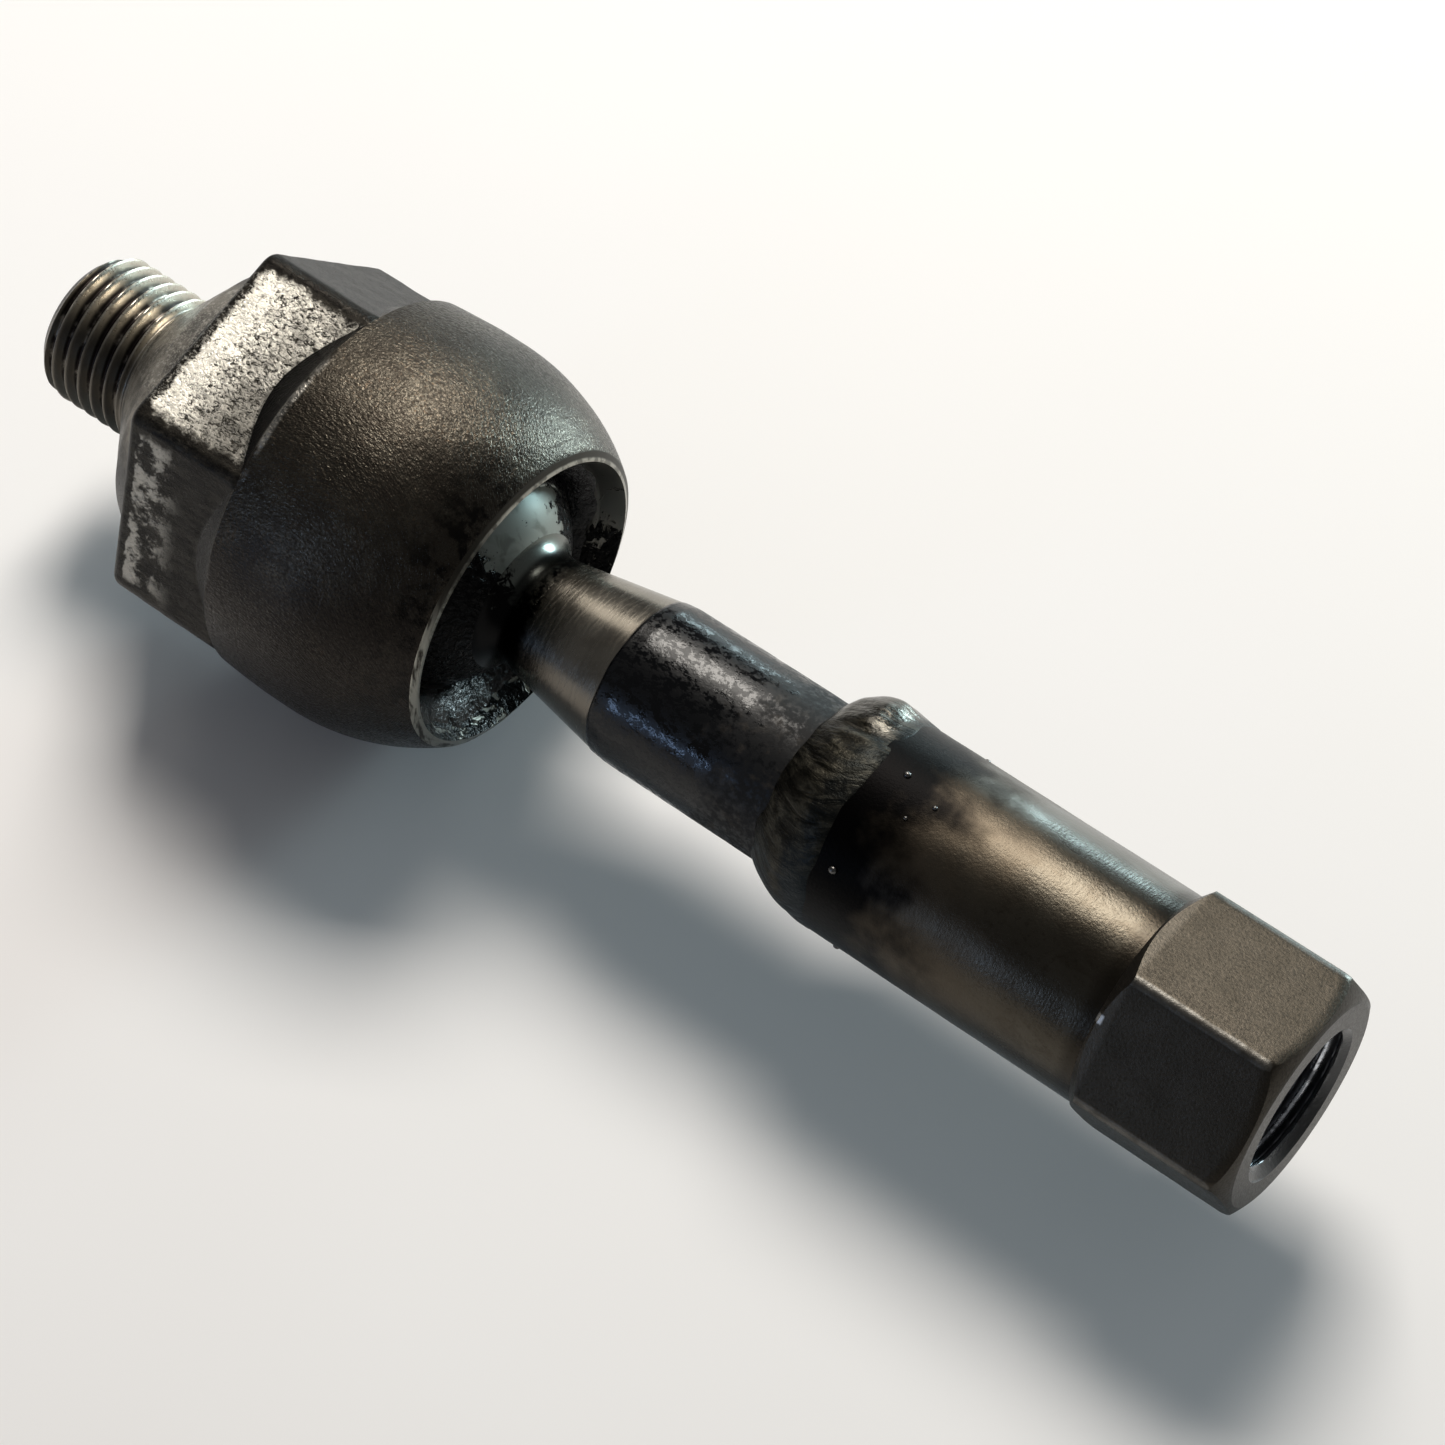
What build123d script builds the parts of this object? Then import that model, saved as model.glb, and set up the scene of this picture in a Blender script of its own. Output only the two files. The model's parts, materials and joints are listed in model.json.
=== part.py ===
"""Axial ball joint (inner tie rod end) with a threaded sleeve welded to its stud.

Frame: +X runs along the common axis from the male thread to the sleeve, +Z is up, millimetres.
The origin lies on the axis where the male thread ends at the housing's collar.
Angles about the axis are measured from +Y towards +Z.
"""

import os
from math import acos, asin, cos, degrees, radians, sin, sqrt, tan

from build123d import *

# ---- male thread, M14 x 1.5, drawn at its major diameter -----------------------------------------
STUB_R = 7.0
STUB_LENGTH = 10.4
STUB_CHAMFER = 1.2

# ---- collar and wrench hex of the housing ----------------------------------------------------------
COLLAR_X, COLLAR_R = 5.2, 13.3          # end of the steep cone behind the thread
HEX_BACK_X = 8.0
HEX_BACK_R = 15.2                       # collar radius where it meets the hexagon's back face
COLLAR_ROOT = 1.0                       # how far the collar's cone is sunk into the hexagon
HOUSING_FLATS = 32.0
HOUSING_HEX_ANGLE = 13.0                # direction of one corner
TURNED_R = 18.35                         # corners of the hexagon are turned to this radius
HEX_EDGE = 0.6                          # rounding of the hexagon's back edge

# ---- barrel of the housing -----------------------------------------------------------------------
SHOULDER_X, SHOULDER_R = 16.1, 15.4     # the shoulder's cone starts inside the flats
BARREL_X, BARREL_R = 19.3, 18.2         # rear edge of the barrel
BARREL_MID_R = 18.42                    # halfway from the rear edge to the widest place
BELLY_X, BELLY_R = 26.6, 18.5           # widest place
CROWN_R = 21.5                          # radius of the rolled front, centred behind the belly
BEVEL_X = 38.2
LIP_X, LIP_R = 39.6, 13.57              # front plane and inner edge of the rolled lip
THROAT_X, THROAT_R = 35.5, 11.8         # narrowest place of the mouth

# ---- ball and its bearing --------------------------------------------------------------------------
BALL_X = 28.6
BALL_R = 12.5
BALL_FLAT_R = 2.5                       # turned flat on the back of the ball
SEAT_GAP = 0.05                         # running clearance between ball and seat
SOCKET_R = 15.3                         # spherical socket bored in the housing
SEAT_R = 15.25
SEAT_SPLIT = 0.1                        # gap between the two halves of the seat
SEAT_CHAMFER = 0.8                      # clears the neck's fillet at full swing
POCKET_R = 14.0                         # grease pocket behind the ball
POCKET_HALF_ANGLE = 46.0
SPRING_BORE_R = 8.4
SPRING_BORE_X = 11.6
SEAT_BOSS_R = 7.6
SEAT_BOSS_X = 13.4
SPRING_HOLE_R, SPRING_R = 4.2, 8.0
SPRING_THICKNESS = 1.1
END_PLAY = 0.02                         # play at each end of the spring

# ---- grease ----------------------------------------------------------------------------------------
LAYER_HALF_ANGLE = 14.0
INNER_LAYER = (12.8, 13.1)              # inner and outer radius, from the ball's centre
OUTER_LAYER = (13.4, 13.7)
MOUTH_GREASE_R = 13.3                   # edge beside the ball of the grease that lies in the mouth
MOUTH_GREASE_DEPTH = 1.6                # how far it climbs along the wall of the mouth

# ---- stud ------------------------------------------------------------------------------------------
NECK_ROOT_R = 5.0                       # where the neck meets the ball
NECK_X, NECK_R = 41.5, 5.3
NECK_END_X, NECK_END_R = 52.1, 7.3
SHANK_X, SHANK_R = 53.5, 7.48
SHANK_END_X = 73.4
NECK_FILLET = 2.5

# ---- weld ------------------------------------------------------------------------------------------
WELD_X, WELD_END_X = 69.4, 77.0
WELD_CROWN_X, WELD_CROWN_R = 73.3, 9.35
LUMP_X, LUMP_R, LUMP_OFFSET, LUMP_ANGLE = 72.5, 2.9, 7.5, 45.0

# ---- threaded sleeve -------------------------------------------------------------------------------
SLEEVE_R = 9.65
SLEEVE_PREP_X = 76.0                    # end of the conical weld preparation
SLEEVE_HEX_X = 102.8
SLEEVE_FLATS = 20.0
SLEEVE_HEX_ANGLE = 52.5
SLEEVE_CORNER_R = 11.4
SLEEVE_FULL_X = 104.2                   # where the corners reach their full height
SLEEVE_FACE_R = 9.4
SLEEVE_CHAMFER_X = 116.6
SLEEVE_END_X = 118.0
TAP_R = 6.19                            # minor radius of the internal M14 x 1.5 thread
TAP_END_X = 85.0
TAP_MOUTH_R = 7.1
DRILL_HALF_ANGLE = 59.0


def polar(sphere_radius, angle):
    """Point of the half section at an angle from +X about the ball's centre."""
    return (BALL_X + sphere_radius * cos(radians(angle)), sphere_radius * sin(radians(angle)))


def angle_at_x(sphere_radius, x):
    """Angle from +X about the ball's centre at which a sphere passes this x."""
    return degrees(acos((x - BALL_X) / sphere_radius))


def rear_angle(sphere_radius, radius):
    """Angle behind the ball's centre at which a sphere has this radius about the axis."""
    return 180 - degrees(asin(radius / sphere_radius))


def ball_arc(sphere_radius, start, end):
    """Arc about the ball's centre between two angles from +X."""
    middle = (start + end) / 2
    ThreePointArc(polar(sphere_radius, start), polar(sphere_radius, middle), polar(sphere_radius, end))


def crown(x):
    """Radius of the housing's rolled front at x."""
    return sqrt(CROWN_R ** 2 - (x - BELLY_X) ** 2) - (CROWN_R - BELLY_R)


# ---- housing: one forging with stub, hexagon and barrel, its rim rolled over the seat --------------
with BuildPart() as ball_housing:
    with BuildSketch(Plane.YZ.offset(HEX_BACK_X)):
        RegularPolygon(HOUSING_FLATS / 2, 6, major_radius=False, rotation=HOUSING_HEX_ANGLE)
    extrude(amount=BARREL_X - HEX_BACK_X)
    with BuildSketch(Plane.YZ.offset(HEX_BACK_X)):
        Circle(TURNED_R)
    extrude(amount=BARREL_X - HEX_BACK_X, mode=Mode.INTERSECT)
    back_edges = ball_housing.edges().group_by(Axis.X)[0]
    fillet(back_edges, HEX_EDGE)
    with BuildSketch():
        with BuildLine():
            Polyline((SHOULDER_X, 0), (SHOULDER_X, SHOULDER_R), (BARREL_X, BARREL_R))
            middle = (BARREL_X + BELLY_X) / 2
            ThreePointArc((BARREL_X, BARREL_R), (middle, BARREL_MID_R), (BELLY_X, BELLY_R))
            middle = (BELLY_X + BEVEL_X) / 2
            ThreePointArc((BELLY_X, BELLY_R), (middle, crown(middle)), (BEVEL_X, crown(BEVEL_X)))
            Polyline((BEVEL_X, crown(BEVEL_X)), (LIP_X, LIP_R), (LIP_X, 0), (SHOULDER_X, 0))
        make_face()
    revolve(axis=Axis.X)
    with BuildSketch():
        with BuildLine():
            Polyline(
                (-STUB_LENGTH, 0),
                (-STUB_LENGTH, STUB_R - STUB_CHAMFER),
                (STUB_CHAMFER - STUB_LENGTH, STUB_R),
                (0, STUB_R),
                (COLLAR_X, COLLAR_R),
                (HEX_BACK_X, HEX_BACK_R),
                (HEX_BACK_X + COLLAR_ROOT, HEX_BACK_R - COLLAR_ROOT),
                (HEX_BACK_X + COLLAR_ROOT, 0),
                close=True,
            )
        make_face()
    revolve(axis=Axis.X)
    with BuildSketch():
        with BuildLine():
            rim = angle_at_x(SOCKET_R, THROAT_X)
            tail = rear_angle(SOCKET_R, SPRING_BORE_R)
            Polyline((LIP_X, 0), (LIP_X, LIP_R), (THROAT_X, THROAT_R), polar(SOCKET_R, rim))
            ball_arc(SOCKET_R, rim, tail)
            Polyline(
                polar(SOCKET_R, tail), (SPRING_BORE_X, SPRING_BORE_R), (SPRING_BORE_X, 0), (LIP_X, 0)
            )
        make_face()
    revolve(axis=Axis.X, mode=Mode.SUBTRACT)

# ---- rear half of the seat: carries the ball, backed by the spring ---------------------------------
with BuildPart() as seat_cup:
    with BuildSketch():
        with BuildLine():
            split_x = BALL_X - SEAT_SPLIT
            split = angle_at_x(SEAT_R, split_x)
            boss = rear_angle(SEAT_R, SEAT_BOSS_R)
            Polyline((SEAT_BOSS_X, 0), (SEAT_BOSS_X, SEAT_BOSS_R), polar(SEAT_R, boss))
            ball_arc(SEAT_R, boss, split)
            Polyline(polar(SEAT_R, split), (split_x, 0), (SEAT_BOSS_X, 0))
        make_face()
    revolve(axis=Axis.X)
    with BuildSketch():
        with BuildLine():
            step = 180 - POCKET_HALF_ANGLE
            ball_arc(BALL_R + SEAT_GAP, 90, step)
            Line(polar(BALL_R + SEAT_GAP, step), polar(POCKET_R, step))
            ball_arc(POCKET_R, step, 180)
            Polyline(polar(POCKET_R, 180), (BALL_X, 0), polar(BALL_R + SEAT_GAP, 90))
        make_face()
    revolve(axis=Axis.X, mode=Mode.SUBTRACT)

# ---- front half of the seat: held by the rolled lip ------------------------------------------------
with BuildPart() as seat_ring:
    with BuildSketch():
        with BuildLine():
            front = THROAT_X - SEAT_GAP
            outer_corner = angle_at_x(SEAT_R, front)
            inner_corner = angle_at_x(BALL_R + SEAT_GAP, front - SEAT_CHAMFER)
            sharp_corner = polar(BALL_R + SEAT_GAP, angle_at_x(BALL_R + SEAT_GAP, front))
            ball_arc(SEAT_R, 90, outer_corner)
            Polyline(
                polar(SEAT_R, outer_corner),
                (front, sharp_corner[1] + SEAT_CHAMFER),
                polar(BALL_R + SEAT_GAP, inner_corner),
            )
            ball_arc(BALL_R + SEAT_GAP, inner_corner, 90)
            Line(polar(BALL_R + SEAT_GAP, 90), polar(SEAT_R, 90))
        make_face()
    revolve(axis=Axis.X)

# ---- disc spring: a cone that pushes the seat and ball against the lip -----------------------------
with BuildPart() as disc_spring:
    with BuildSketch():
        with BuildLine():
            low, high = SPRING_BORE_X + END_PLAY, SEAT_BOSS_X - END_PLAY
            Polyline(
                (low, SPRING_R),
                (low + SPRING_THICKNESS, SPRING_R),
                (high, SPRING_HOLE_R),
                (high - SPRING_THICKNESS, SPRING_HOLE_R),
                close=True,
            )
        make_face()
    revolve(axis=Axis.X)


def grease_layer(radii):
    """Half section of a spherical cap of grease in the pocket behind the ball."""
    near, far = radii
    edge = 180 - LAYER_HALF_ANGLE
    ball_arc(near, 180, edge)
    Line(polar(near, edge), polar(far, edge))
    ball_arc(far, edge, 180)
    Line(polar(far, 180), polar(near, 180))


# ---- grease in the pocket, in two layers that shear over each other --------------------------------
with BuildPart() as grease_layer_outer:
    with BuildSketch():
        with BuildLine():
            grease_layer(OUTER_LAYER)
        make_face()
    revolve(axis=Axis.X)

with BuildPart() as grease_layer_inner:
    with BuildSketch():
        with BuildLine():
            grease_layer(INNER_LAYER)
        make_face()
    revolve(axis=Axis.X)

# ---- grease squeezed into the corner between the seat ring and the mouth ---------------------------
with BuildPart() as grease_bead:
    with BuildSketch():
        with BuildLine():
            slope = (LIP_R - THROAT_R) / (LIP_X - THROAT_X)
            Polyline(
                polar(MOUTH_GREASE_R, angle_at_x(MOUTH_GREASE_R, THROAT_X)),
                (THROAT_X, THROAT_R),
                (THROAT_X + MOUTH_GREASE_DEPTH, THROAT_R + MOUTH_GREASE_DEPTH * slope),
                close=True,
            )
        make_face()
    revolve(axis=Axis.X)

# ---- stud: ball, neck and shank in one piece -------------------------------------------------------
with BuildPart() as ball_stud:
    with BuildSketch():
        with BuildLine():
            back = rear_angle(BALL_R, BALL_FLAT_R)
            root = degrees(asin(NECK_ROOT_R / BALL_R))
            back_x = polar(BALL_R, back)[0]
            Line((back_x, 0), polar(BALL_R, back))
            ball_arc(BALL_R, back, root)
            Polyline(
                polar(BALL_R, root),
                (NECK_X, NECK_R),
                (NECK_END_X, NECK_END_R),
                (SHANK_X, SHANK_R),
                (SHANK_END_X, SHANK_R),
                (SHANK_END_X, 0),
                (back_x, 0),
            )
        make_face()
    revolve(axis=Axis.X)
    neck_root = ball_stud.edges().sort_by_distance((*polar(BALL_R, root), 0))[0]
    fillet(neck_root, NECK_FILLET)

# ---- sleeve: round tube with a hexagonal end, tapped from the front --------------------------------
with BuildPart() as threaded_sleeve:
    with BuildSketch(Plane.YZ.offset(SLEEVE_HEX_X)):
        RegularPolygon(SLEEVE_FLATS / 2, 6, major_radius=False, rotation=SLEEVE_HEX_ANGLE)
    extrude(amount=SLEEVE_END_X - SLEEVE_HEX_X)
    with BuildSketch():
        with BuildLine():
            Polyline(
                (SLEEVE_HEX_X, 0),
                (SLEEVE_HEX_X, SLEEVE_R),
                (SLEEVE_FULL_X, SLEEVE_CORNER_R),
                (SLEEVE_CHAMFER_X, SLEEVE_CORNER_R),
                (SLEEVE_END_X, SLEEVE_FACE_R),
                (SLEEVE_END_X, 0),
                close=True,
            )
        make_face()
    revolve(axis=Axis.X, mode=Mode.INTERSECT)
    with BuildSketch():
        with BuildLine():
            Polyline(
                (SHANK_END_X, 0),
                (SHANK_END_X, SHANK_R),
                (SLEEVE_PREP_X, SLEEVE_R),
                (SLEEVE_FULL_X, SLEEVE_R),
                (SLEEVE_FULL_X, 0),
                close=True,
            )
        make_face()
    revolve(axis=Axis.X)
    with BuildSketch():
        with BuildLine():
            drill_point = TAP_R / tan(radians(DRILL_HALF_ANGLE))
            Polyline(
                (TAP_END_X - drill_point, 0),
                (TAP_END_X, TAP_R),
                (SLEEVE_END_X - (TAP_MOUTH_R - TAP_R), TAP_R),
                (SLEEVE_END_X, TAP_MOUTH_R),
                (SLEEVE_END_X, 0),
                close=True,
            )
        make_face()
    revolve(axis=Axis.X, mode=Mode.SUBTRACT)

# ---- weld: ring bead over the joint between shank and sleeve, with one lump ------------------------
with BuildPart() as weld_bead:
    with BuildSketch():
        with BuildLine():
            ThreePointArc(
                (WELD_X, SHANK_R), (WELD_CROWN_X, WELD_CROWN_R), (WELD_END_X, SLEEVE_R)
            )
            Polyline(
                (WELD_END_X, SLEEVE_R),
                (SLEEVE_PREP_X, SLEEVE_R),
                (SHANK_END_X, SHANK_R),
                (WELD_X, SHANK_R),
            )
        make_face()
    revolve(axis=Axis.X)
    lump_y = LUMP_OFFSET * cos(radians(LUMP_ANGLE))
    lump_z = LUMP_OFFSET * sin(radians(LUMP_ANGLE))
    with Locations((LUMP_X, lump_y, lump_z)):
        Sphere(LUMP_R)
    with BuildSketch():
        with BuildLine():
            Polyline(
                (WELD_X - LUMP_R, 0),
                (WELD_X - LUMP_R, SHANK_R),
                (SHANK_END_X, SHANK_R),
                (SLEEVE_PREP_X, SLEEVE_R),
                (WELD_END_X + LUMP_R, SLEEVE_R),
                (WELD_END_X + LUMP_R, 0),
                close=True,
            )
        make_face()
    revolve(axis=Axis.X, mode=Mode.SUBTRACT)

pieces = {
    "ball_housing": ball_housing,
    "seat_cup": seat_cup,
    "seat_ring": seat_ring,
    "disc_spring": disc_spring,
    "grease_bead": grease_bead,
    "grease_layer_outer": grease_layer_outer,
    "grease_layer_inner": grease_layer_inner,
    "ball_stud": ball_stud,
    "weld_bead": weld_bead,
    "threaded_sleeve": threaded_sleeve,
}
os.makedirs("parts", exist_ok=True)
for name, piece in pieces.items():
    piece.part.label = name
    export_step(piece.part, f"parts/{name}.step")
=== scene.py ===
"""Looks of an axial ball joint with a threaded sleeve welded to its stud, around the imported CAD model.

Lengths are millimetres in the model's own frame: +X along the axis from the male thread to the sleeve,
+Z up, angles about the axis from +Y towards +Z. They become metres where a mesh, lamp or camera is made.
"""

import json
import math

import bmesh
import bpy
import numpy as np
from mathutils import Matrix, Vector, noise


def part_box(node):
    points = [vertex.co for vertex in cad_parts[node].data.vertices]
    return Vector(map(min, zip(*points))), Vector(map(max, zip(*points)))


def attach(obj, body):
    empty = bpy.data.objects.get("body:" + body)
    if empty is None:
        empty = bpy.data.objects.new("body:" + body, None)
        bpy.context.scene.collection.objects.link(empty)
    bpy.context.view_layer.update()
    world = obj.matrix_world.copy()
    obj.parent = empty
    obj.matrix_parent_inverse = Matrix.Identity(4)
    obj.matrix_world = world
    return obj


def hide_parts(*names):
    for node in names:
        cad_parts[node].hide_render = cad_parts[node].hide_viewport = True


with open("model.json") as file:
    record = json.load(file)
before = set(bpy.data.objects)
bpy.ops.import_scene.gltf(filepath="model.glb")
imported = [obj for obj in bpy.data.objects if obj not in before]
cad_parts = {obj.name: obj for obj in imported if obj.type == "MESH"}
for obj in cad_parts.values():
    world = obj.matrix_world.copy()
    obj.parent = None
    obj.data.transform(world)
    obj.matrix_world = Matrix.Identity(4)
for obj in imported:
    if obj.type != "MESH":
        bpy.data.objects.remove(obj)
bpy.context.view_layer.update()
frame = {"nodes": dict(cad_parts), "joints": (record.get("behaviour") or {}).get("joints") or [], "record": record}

MM = 0.001


def node_box(node):
    """Lowest and highest corner of a CAD node, in millimetres."""
    low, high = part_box(node)
    return low / MM, high / MM


def mount(name):
    """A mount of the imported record."""
    return next(m for m in frame["record"]["mounts"] if m["name"] == name)


# ---- sizes and places --------------------------------------------------------------------------------
housing_low, housing_high = node_box("ball_housing")
stud_high = node_box("ball_stud")[1]
weld_low, weld_high = node_box("weld_bead")
sleeve_high = node_box("threaded_sleeve")[1]
ring_high = node_box("seat_ring")[1]

PITCH = 1.5                                     # both threads are M14 x 1.5
STUB_END = housing_low.x
STUB_R = mount("stub_thread")["dims"]["r_mm"]
STUB_ROOT_R = STUB_R - 0.613 * PITCH
STUB_CHAMFER = 1.2
COLLAR_X, COLLAR_R = 5.2, 13.3
HEX_BACK_X, HEX_BACK_R = 8.0, 15.2
HEX_EDGE = 0.8
HEX_CORNER_ROUND = 1.5
HOUSING_FLATS = 32.0
HOUSING_FLAT_ANGLE = 43.0
GROOVE_X, GROOVE_R = 15.2, 15.4                 # the concave shoulder between the flats and the barrel
GROOVE_POWER = 1.5
BARREL_X, BARREL_R = 19.9, 18.2
BARREL_MID_R = 18.42
BELLY_X, BELLY_R = 26.6, housing_high.z - 0.03
CROWN_R = 21.5
BEVEL_X = 39.15
LIP_X, LIP_R = housing_high.x, 13.57
THROAT_X, THROAT_R = 35.5, 11.8
SOCKET_R = 15.3
SPRING_BORE_X, SPRING_BORE_R = 11.6, 8.4

BALL_X = frame["joints"][0]["pos_m"][0] / MM
BALL_R = stud_high.z
BALL_FLAT_R = 2.5
NECK_ROOT_R, NECK_FILLET = 5.0, 2.5
PAINT_STEP = 0.07                               # how far the paint stands above the bare neck
NECK_X, NECK_R = 41.5, 5.3
NECK_END_X, NECK_END_R = 52.1, 7.3
SHANK_X, SHANK_R = 53.5, 7.48
SHANK_END_X = stud_high.x

WELD_X, WELD_END_X = weld_low.x, weld_high.x
WELD_CROWN_R = 9.25
RIPPLE, RIPPLE_R = 1.9, 9.0                     # arc from one weld ripple to the next, and its radius
RIPPLE_HEIGHT, WELD_UNEVEN = 0.06, 0.22
LUMP_X, LUMP_ANGLE = 72.6, 45.0
LUMP_LENGTH, LUMP_SPREAD = 2.3, 21.0            # how far it reaches along the axis, and around it in degrees

SLEEVE_R = 9.65
SLEEVE_PREP_X = 76.0
SLEEVE_HEX_X, SLEEVE_FULL_X = 102.8, 104.2
SLEEVE_FLATS = 20.0
SLEEVE_FLAT_ANGLE = 82.5
SLEEVE_CORNER_R = 11.4
SLEEVE_FACE_R = 9.4
SLEEVE_CHAMFER_X, SLEEVE_END_X = 116.6, sleeve_high.x
TAP_R = mount("sleeve_thread")["dims"]["r_mm"]
TAP_MAJOR_R, TAP_MOUTH_R = 7.06, 7.1
TAP_END_X = 85.0
TAP_SEEN = 14.0                                 # depth over which the tapped thread is cut finely
DRILL_HALF_ANGLE = 59.0
SPATTER = [                                     # drops on the sleeve: x, angle, radius
    (79.0, 87.0, 0.30), (78.2, 146.0, 0.34), (82.6, 94.0, 0.20), (81.2, 106.0, 0.18), (81.0, 20.0, 0.26),
    (79.0, -40.0, 0.32), (81.5, -95.0, 0.26), (78.8, 215.0, 0.28),
]


# ---- node materials ----------------------------------------------------------------------------------
class Paint:
    """A procedural material. Its pattern lives in the model's frame, in millimetres."""

    def __init__(self, name):
        self.material = bpy.data.materials.new(name)
        self.material.use_nodes = True
        self.tree = self.material.node_tree
        self.tree.nodes.clear()
        output = self.add("ShaderNodeOutputMaterial")
        self.shader = self.add("ShaderNodeBsdfPrincipled")
        self.tree.links.new(self.shader.outputs[0], output.inputs[0])
        where = self.add("ShaderNodeTexCoord").outputs["Object"]
        scaled = self.add("ShaderNodeVectorMath", operation="SCALE")
        self.tree.links.new(where, scaled.inputs[0])
        scaled.inputs["Scale"].default_value = 1 / MM
        self.place = scaled.outputs[0]
        split = self.add("ShaderNodeSeparateXYZ")
        self.tree.links.new(self.place, split.inputs[0])
        self.x, self.y, self.z = split.outputs
        self.angle = self.math("ARCTAN2", self.z, self.y)
        self.radius = self.math("POWER", self.sum_of_squares(self.y, self.z), 0.5)

    def add(self, kind, **settings):
        node = self.tree.nodes.new(kind)
        for key, value in settings.items():
            setattr(node, key, value)
        return node

    def feed(self, socket, value):
        if isinstance(value, bpy.types.NodeSocket):
            self.tree.links.new(value, socket)
        elif isinstance(value, tuple) and len(value) == 3 and socket.type == "RGBA":
            socket.default_value = (*value, 1)
        else:
            socket.default_value = value

    def math(self, operation, a, b=None, clamp=False):
        node = self.add("ShaderNodeMath", operation=operation, use_clamp=clamp)
        self.feed(node.inputs[0], a)
        if b is not None:
            self.feed(node.inputs[1], b)
        return node.outputs[0]

    def sum_of_squares(self, a, b):
        return self.math("ADD", self.math("MULTIPLY", a, a), self.math("MULTIPLY", b, b))

    def step(self, value, start, end, low=0.0, high=1.0):
        """Goes smoothly from low to high as value goes from start to end."""
        node = self.add("ShaderNodeMapRange", interpolation_type="SMOOTHSTEP")
        for socket, v in zip(node.inputs, (value, start, end, low, high)):
            self.feed(socket, v)
        return node.outputs[0]

    def band(self, value, centre, half, soft):
        """1 within half of centre, falling to 0 over soft."""
        away = self.math("ABSOLUTE", self.math("SUBTRACT", value, centre))
        return self.step(away, half, half + soft, 1.0, 0.0)

    def towards(self, angle, half, soft, ragged=0.0):
        """1 on the side of the axis that faces an angle, in degrees; ragged (radians) disturbs the edge."""
        turned = self.math("SUBTRACT", self.angle, math.radians(angle))
        away = self.math("ADD", self.math("ARCCOSINE", self.math("COSINE", turned)), ragged)
        return self.step(away, math.radians(half), math.radians(half + soft), 1.0, 0.0)

    def stretched(self, along=1.0, around=1.0):
        """Coordinates around the axis: length and arc length, each stretched, and radius."""
        node = self.add("ShaderNodeCombineXYZ")
        self.feed(node.inputs[0], self.math("DIVIDE", self.x, along))
        arc = self.math("MULTIPLY", self.angle, self.radius)
        self.feed(node.inputs[1], self.math("DIVIDE", arc, around))
        self.feed(node.inputs[2], self.radius)
        return node.outputs[0]

    def scaled(self, x=1.0, y=1.0, z=1.0):
        """Coordinates stretched along the frame's axes."""
        node = self.add("ShaderNodeVectorMath", operation="DIVIDE")
        self.feed(node.inputs[0], self.place)
        node.inputs[1].default_value = (x, y, z)
        return node.outputs[0]

    def noise(self, size, detail=3.0, rough=0.5, where=None, distort=0.0):
        node = self.add("ShaderNodeTexNoise")
        self.feed(node.inputs["Vector"], where or self.place)
        self.feed(node.inputs["Scale"], 1 / size)
        self.feed(node.inputs["Detail"], detail)
        self.feed(node.inputs["Roughness"], rough)
        self.feed(node.inputs["Distortion"], distort)
        return node.outputs["Fac"]

    def mix(self, share, a, b):
        """Colours or numbers mixed by share."""
        colour = isinstance(a, tuple) or isinstance(b, tuple) or getattr(a, "type", "") == "RGBA"
        node = self.add("ShaderNodeMix", data_type="RGBA" if colour else "FLOAT")
        first = 6 if colour else 2
        self.feed(node.inputs[0], share)
        self.feed(node.inputs[first], a)
        self.feed(node.inputs[first + 1], b)
        return node.outputs[2 if colour else 0]

    def both(self, a, b):
        return self.math("MULTIPLY", a, b, clamp=True)

    def most(self, a, b):
        return self.math("MAXIMUM", a, b)

    def minus(self, a, b):
        return self.math("SUBTRACT", a, b, clamp=True)

    def bump(self, height, depth, under=None):
        """A bump whose height of 1 stands depth millimetres proud."""
        node = self.add("ShaderNodeBump")
        node.inputs["Strength"].default_value = 1.0
        node.inputs["Distance"].default_value = depth * MM
        self.feed(node.inputs["Height"], height)
        if under is not None:
            self.feed(node.inputs["Normal"], under)
        return node.outputs[0]

    def finish(self, colour, roughness, metallic=1.0, normal=None, **plain):
        self.feed(self.shader.inputs["Base Color"], colour)
        self.feed(self.shader.inputs["Roughness"], roughness)
        self.feed(self.shader.inputs["Metallic"], metallic)
        if normal is not None:
            self.feed(self.shader.inputs["Normal"], normal)
        for key, value in plain.items():
            self.shader.inputs[key.replace("_", " ")].default_value = value
        return self.material


def thread_steel():
    """Rolled thread: bright crests and flanks, oily dark roots."""
    p = Paint("thread_steel")
    grime = p.noise(2.5, 4, 0.6)
    root = p.step(p.radius, STUB_ROOT_R + 0.1, STUB_R - 0.3, 1.0, 0.0)
    dark = p.most(p.both(root, p.step(grime, 0.2, 0.5)), p.both(p.step(grime, 0.58, 0.74), 0.6))
    end_face = p.step(p.x, STUB_END + 1.3, STUB_END + 0.5)
    dark = p.most(dark, p.both(end_face, 0.8))
    # Darker on the side that faces 175 degrees, towards -Y.
    dark = p.most(dark, p.both(p.towards(175, 40, 30), 0.72))
    colour = p.mix(dark, (0.50, 0.46, 0.39), (0.016, 0.013, 0.012))
    fine = p.noise(0.25, 2, 0.6)
    rough = p.math("ADD", p.mix(dark, 0.30, 0.38), p.step(fine, 0.3, 0.7, -0.05, 0.08))
    return p.finish(colour, rough, 1.0, p.bump(fine, 0.012))


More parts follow.
